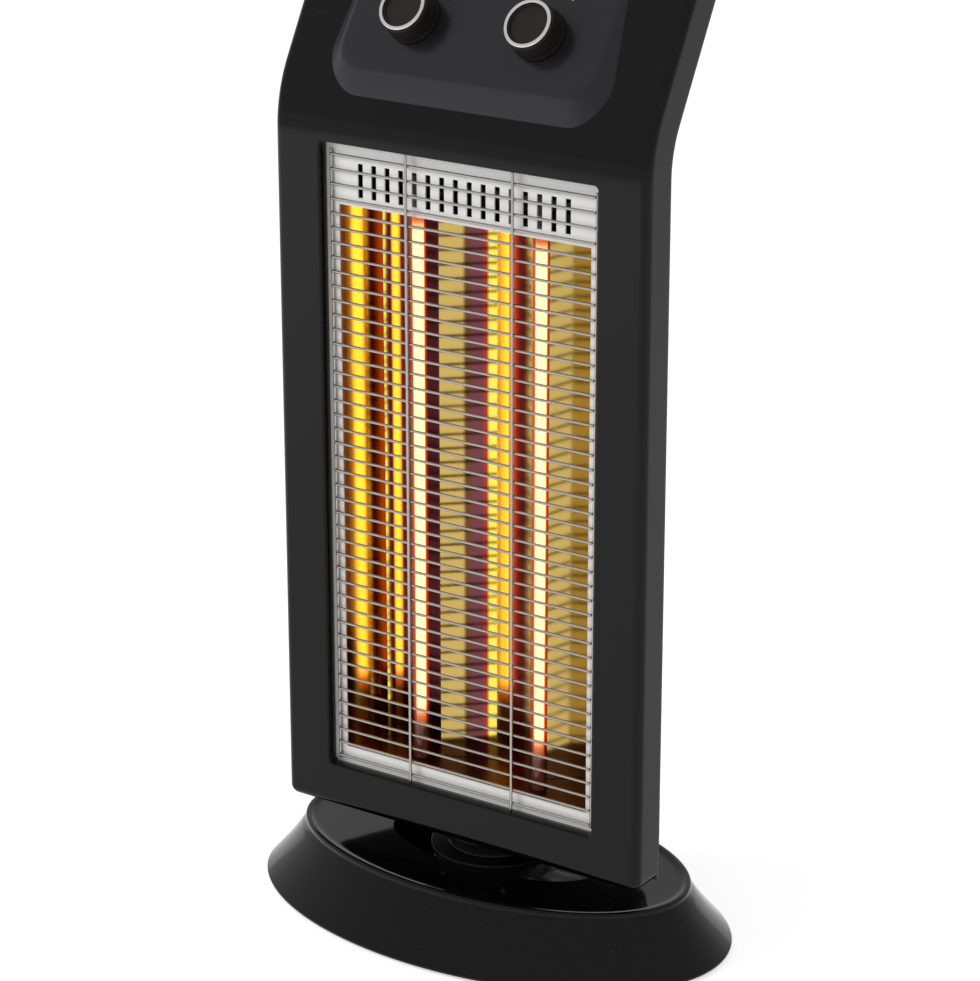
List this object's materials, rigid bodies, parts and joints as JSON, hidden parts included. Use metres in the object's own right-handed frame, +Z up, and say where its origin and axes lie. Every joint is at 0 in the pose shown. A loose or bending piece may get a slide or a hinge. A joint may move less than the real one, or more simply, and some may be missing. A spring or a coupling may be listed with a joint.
{
  "type": "halogen heater",
  "caption": "Upright radiant heater: quartz tubes in a folded mirror reflector behind a wire guard, with rotary switches, on an oval base that swings it.",
  "frame": {"origin": "on the floor under the swivel axis, at the centre of the oval base", "axes": "+Z up along the swivel axis, -Y out of the heating face, +X to the right of someone facing the heater"},
  "size_m": [0.362, 0.226, 0.6663],
  "materials": {
    "gloss_black": "high gloss moulded housing and base",
    "console_plastic": "glossy moulded plastic, a shade lighter than the housing",
    "matt_black": "fine spark-eroded texture, matt",
    "rubber": "matt black rubber",
    "bright_plate": "bright satin aluminium sheet",
    "mirror": "polished aluminium reflector, lit amber by the tubes",
    "zinc": "zinc-plated steel, dull",
    "steel_wire": "bright plated steel wire",
    "chrome": "bright chrome-look ring",
    "quartz": "clear quartz glass, glowing when lit",
    "glow": "coiled heating wire at orange heat",
    "ceramic": "unglazed steatite ceramic",
    "nylon": "natural nylon",
    "phenolic": "dark brown phenolic moulding"
  },
  "bodies": {
    "base": {"base_cover": "gloss_black", "base_plate": "matt_black", "cord_inlet": "rubber", "foot_1": "rubber", "foot_2": "rubber", "foot_3": "rubber", "foot_4": "rubber", "base_screw_1": "zinc", "base_screw_2": "zinc", "base_screw_3": "zinc", "base_screw_4": "zinc", "tip_switch": "phenolic", "swing_motor": "zinc", "pivot_bush": "nylon"},
    "plunger": {"tip_plunger": "nylon"},
    "crank": {"motor_crank": "nylon"},
    "heater_body": {"front_bezel": "gloss_black", "control_console": "console_plastic", "rear_cover": "matt_black", "swivel_neck": "matt_black", "neck_screw_1": "zinc", "neck_screw_2": "zinc", "neck_screw_3": "zinc", "neck_screw_4": "zinc", "cover_screw_1": "zinc", "cover_screw_2": "zinc", "cover_screw_3": "zinc", "cover_screw_4": "zinc", "swing_arm": "zinc", "body_bracket": "zinc", "switch_bracket": "zinc", "heat_shield": "zinc", "cap_clip_left_lower": "zinc", "cap_clip_left_upper": "zinc", "cap_clip_right_lower": "zinc", "cap_clip_right_upper": "zinc", "rotary_switch_left": "phenolic", "rotary_switch_right": "phenolic", "thermal_cutout": "phenolic", "terminal_block": "ceramic", "end_cap_left_lower": "ceramic", "end_cap_left_upper": "ceramic", "end_cap_right_lower": "ceramic", "end_cap_right_upper": "ceramic", "reflector_frame": "bright_plate", "reflector_end_lower": "bright_plate", "reflector_end_upper": "bright_plate", "reflector": "mirror", "guard": "steel_wire", "quartz_tube_left": "quartz", "quartz_tube_right": "quartz", "filament_left": "glow", "filament_right": "glow"},
    "dial_left": {"knob_left": "gloss_black", "knob_ring_left": "chrome", "switch_shaft_left": "zinc"},
    "dial_right": {"knob_right": "gloss_black", "knob_ring_right": "chrome", "switch_shaft_right": "zinc"}
  },
  "joints": [
    {"name": "swing", "type": "hinge", "parent": "base", "child": "heater_body", "pos_m": [0, 0, 0.04], "axis": [0, 0, 1], "range_deg": [-30, 30]},
    {"name": "crank_turn", "type": "hinge", "parent": "base", "child": "crank", "pos_m": [0.064, 0, 0.03], "axis": [0, 0, 1], "range_deg": [-120, 120]},
    {"name": "knob_left_turn", "type": "hinge", "parent": "heater_body", "child": "dial_left", "pos_m": [-0.048, -0.02082, 0.62567], "axis": [0, -0.8181, 0.575], "range_deg": [-60, 0]},
    {"name": "knob_right_turn", "type": "hinge", "parent": "heater_body", "child": "dial_right", "pos_m": [0.048, -0.02082, 0.62567], "axis": [0, -0.8181, 0.575], "range_deg": [-30, 0]},
    {"name": "tip_travel", "type": "slide", "parent": "base", "child": "plunger", "axis": [0, 0, 1], "range_m": [-0.005, 0], "stiffness_N_per_m": 60, "springref_m": -0.006}
  ],
  "couplings": [
    {"joint": "crank_turn", "follows": "swing", "ratio": 4}
  ]
}
